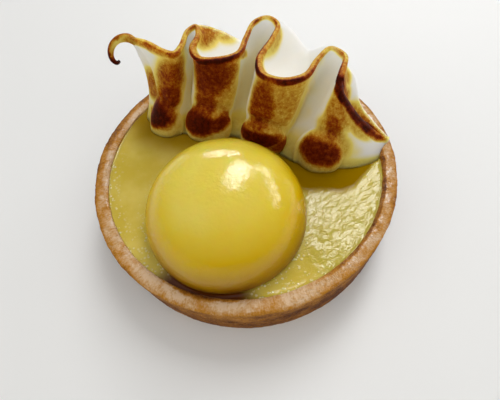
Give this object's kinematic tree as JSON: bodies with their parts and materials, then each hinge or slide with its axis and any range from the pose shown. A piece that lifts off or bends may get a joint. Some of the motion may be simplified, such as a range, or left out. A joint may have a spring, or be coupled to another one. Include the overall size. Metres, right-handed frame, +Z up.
{
  "type": "lemon tart",
  "caption": "Small round lemon tart: a straight-sided pastry case of lemon curd with a smooth lemon dome and a torched ruffle of piped meringue.",
  "frame": {"origin": "centre of the case's flat underside", "axes": "+Z up, out of the underside; +Y from the lemon dome towards the meringue; +X towards the meringue's low pointed end"},
  "size_m": [0.0797, 0.0798, 0.0391],
  "materials": {
    "pastry": "baked shortcrust pastry, golden tan with browner patches, matte",
    "lemon_curd": "set lemon curd, pale yellow, glossy, finely wrinkled in places",
    "lemon_glaze": "smooth lemon glaze, yellow, satin gloss",
    "meringue": "piped meringue, white, scorched gold to dark brown on its folds and edge"
  },
  "bodies": {
    "root": {"pastry_case": "pastry", "lemon_filling": "lemon_curd", "lemon_dome": "lemon_glaze", "meringue_ruffle": "meringue"}
  },
  "joints": []
}
